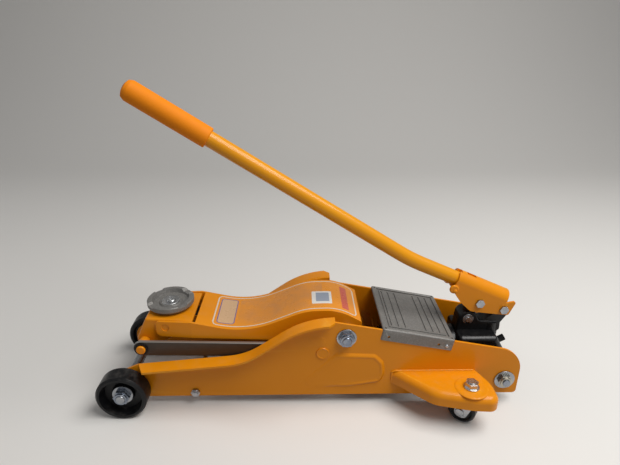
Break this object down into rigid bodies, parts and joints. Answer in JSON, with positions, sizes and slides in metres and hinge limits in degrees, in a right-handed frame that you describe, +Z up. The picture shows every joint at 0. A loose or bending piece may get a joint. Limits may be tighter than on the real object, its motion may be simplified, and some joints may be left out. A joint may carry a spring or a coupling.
{
  "type": "floor jack",
  "caption": "Low hydraulic trolley floor jack with side plates, lift arm, saddle, foot plate, casters and a bent pump handle.",
  "frame": {"origin": "on the floor, under the middle of the jack's length and width, with the arm down and the handle folded forward", "axes": "+X to the rear (the pump and caster end), +Y to the jack's right, +Z up"},
  "size_m": [0.564, 0.227, 0.4228],
  "materials": {
    "yellow_paint": "glossy amber-yellow enamel",
    "orange_grip": "matt orange grip",
    "yellow_rod": "glossy amber-yellow enamel",
    "grey_cast": "grey hammered finish",
    "dark_bar": "dark grey bar with scuffed edges",
    "black_cast": "black painted casting",
    "black_nylon": "black nylon",
    "black_steel": "black oxide steel",
    "zinc": "bright zinc plate",
    "yellow_zinc": "yellow zinc plate",
    "bright_steel": "ground steel",
    "spring_steel": "spring steel",
    "seal": "oil-proof seal"
  },
  "bodies": {
    "frame": {"left_side_plate": "yellow_paint", "right_side_plate": "yellow_paint", "left_wing_bracket": "yellow_paint", "right_wing_bracket": "yellow_paint", "front_axle": "zinc", "axle_spacers": "zinc", "axle_washers": "zinc", "axle_nuts": "zinc", "front_tie_bolt": "zinc", "tie_nuts": "zinc", "main_pivot_shaft": "zinc", "pivot_spacers": "zinc", "plate_washers": "zinc", "pivot_nuts": "zinc", "link_rear_pins": "yellow_paint", "rear_bolt": "yellow_zinc", "rear_nuts": "yellow_zinc", "foot_plate": "grey_cast", "foot_plate_screws": "black_steel", "king_bolts": "zinc", "king_nuts": "zinc", "caster_races": "zinc", "pump_block": "black_cast", "ram_cylinder": "bright_steel", "gland_nut": "black_cast", "oil_tank": "black_cast", "stop_pin": "bright_steel", "stop_pin_clips": "black_steel"},
    "lift_arm": {"lift_arm": "yellow_paint", "arm_front_pin": "yellow_paint", "lever_pin": "bright_steel"},
    "cradle": {"saddle_cradle": "yellow_paint", "link_front_pins": "yellow_paint", "link_clips": "black_steel"},
    "saddle": {"saddle": "grey_cast", "saddle_screw": "black_steel"},
    "links": {"left_link_bar": "dark_bar", "right_link_bar": "dark_bar"},
    "ram": {"ram": "bright_steel", "ram_piston": "bright_steel", "piston_seal": "seal", "spring_bar": "bright_steel", "return_springs": "spring_steel"},
    "handle": {"handle_socket": "yellow_paint", "socket_bolts": "zinc", "clamp_bolt": "yellow_paint", "pump_cam": "bright_steel", "handle_rod": "yellow_rod", "handle_grip": "orange_grip"},
    "plunger": {"pump_plunger": "bright_steel"},
    "release_valve": {"release_valve": "black_steel"},
    "left_front_wheel": {"left_front_wheel": "black_nylon"},
    "right_front_wheel": {"right_front_wheel": "black_nylon"},
    "left_caster": {"left_caster_fork": "zinc", "left_caster_axle": "zinc"},
    "right_caster": {"right_caster_fork": "zinc", "right_caster_axle": "zinc"},
    "left_caster_wheel": {"left_caster_wheel": "black_nylon"},
    "right_caster_wheel": {"right_caster_wheel": "black_nylon"}
  },
  "joints": [
    {"name": "lift_arm", "type": "hinge", "parent": "frame", "child": "lift_arm", "pos_m": [0.0448, 0, 0.108], "axis": [0, 1, 0], "range_deg": [0, 46]},
    {"name": "cradle_tilt", "type": "hinge", "parent": "lift_arm", "child": "cradle", "pos_m": [-0.19312, 0, 0.114], "axis": [0, 1, 0], "range_deg": [-46, 0]},
    {"name": "link_swing", "type": "hinge", "parent": "frame", "child": "links", "pos_m": [0.0141, 0, 0.0835], "axis": [0, 1, 0], "range_deg": [0, 46]},
    {"name": "ram_slide", "type": "slide", "parent": "frame", "child": "ram", "axis": [-1, 0, 0], "range_m": [0, 0.04298], "deforming": ["return_springs"]},
    {"name": "saddle_swivel", "type": "hinge", "parent": "cradle", "child": "saddle", "pos_m": [-0.19312, 0, 0.124], "axis": [0, 0, 1], "continuous": true},
    {"name": "handle", "type": "hinge", "parent": "frame", "child": "handle", "pos_m": [0.2656, 0, 0.122], "axis": [0, 1, 0], "range_deg": [0, 120]},
    {"name": "pump_plunger", "type": "slide", "parent": "frame", "child": "plunger", "axis": [-0.5, 0, -0.866], "range_m": [0, 0.0055]},
    {"name": "release_valve", "type": "hinge", "parent": "frame", "child": "release_valve", "pos_m": [0.2708, 0, 0.0627], "axis": [0.8599, 0, 0.5105], "range_deg": [0, 180]},
    {"name": "left_front_wheel", "type": "hinge", "parent": "frame", "child": "left_front_wheel", "pos_m": [-0.249, -0.07, 0.033], "axis": [0, 1, 0], "continuous": true},
    {"name": "left_caster_swivel", "type": "hinge", "parent": "frame", "child": "left_caster", "pos_m": [0.204, -0.091, 0.054], "axis": [0, 0, 1], "continuous": true},
    {"name": "left_caster_wheel", "type": "hinge", "parent": "left_caster", "child": "left_caster_wheel", "pos_m": [0.19841, -0.08679, 0.0185], "axis": [0.6018, 0.7986, 0], "continuous": true},
    {"name": "right_front_wheel", "type": "hinge", "parent": "frame", "child": "right_front_wheel", "pos_m": [-0.249, 0.07, 0.033], "axis": [0, 1, 0], "continuous": true},
    {"name": "right_caster_swivel", "type": "hinge", "parent": "frame", "child": "right_caster", "pos_m": [0.204, 0.091, 0.054], "axis": [0, 0, 1], "continuous": true},
    {"name": "right_caster_wheel", "type": "hinge", "parent": "right_caster", "child": "right_caster_wheel", "pos_m": [0.19841, 0.08679, 0.0185], "axis": [0.6018, -0.7986, 0], "continuous": true}
  ],
  "couplings": [
    {"joint": "cradle_tilt", "follows": "lift_arm", "ratio": -1},
    {"joint": "link_swing", "follows": "lift_arm", "ratio": 1},
    {"joint": "ram_slide", "follows": "lift_arm", "m_per_rad": 0.053535},
    {"joint": "pump_plunger", "follows": "handle", "m_per_rad": 0.0026261}
  ]
}
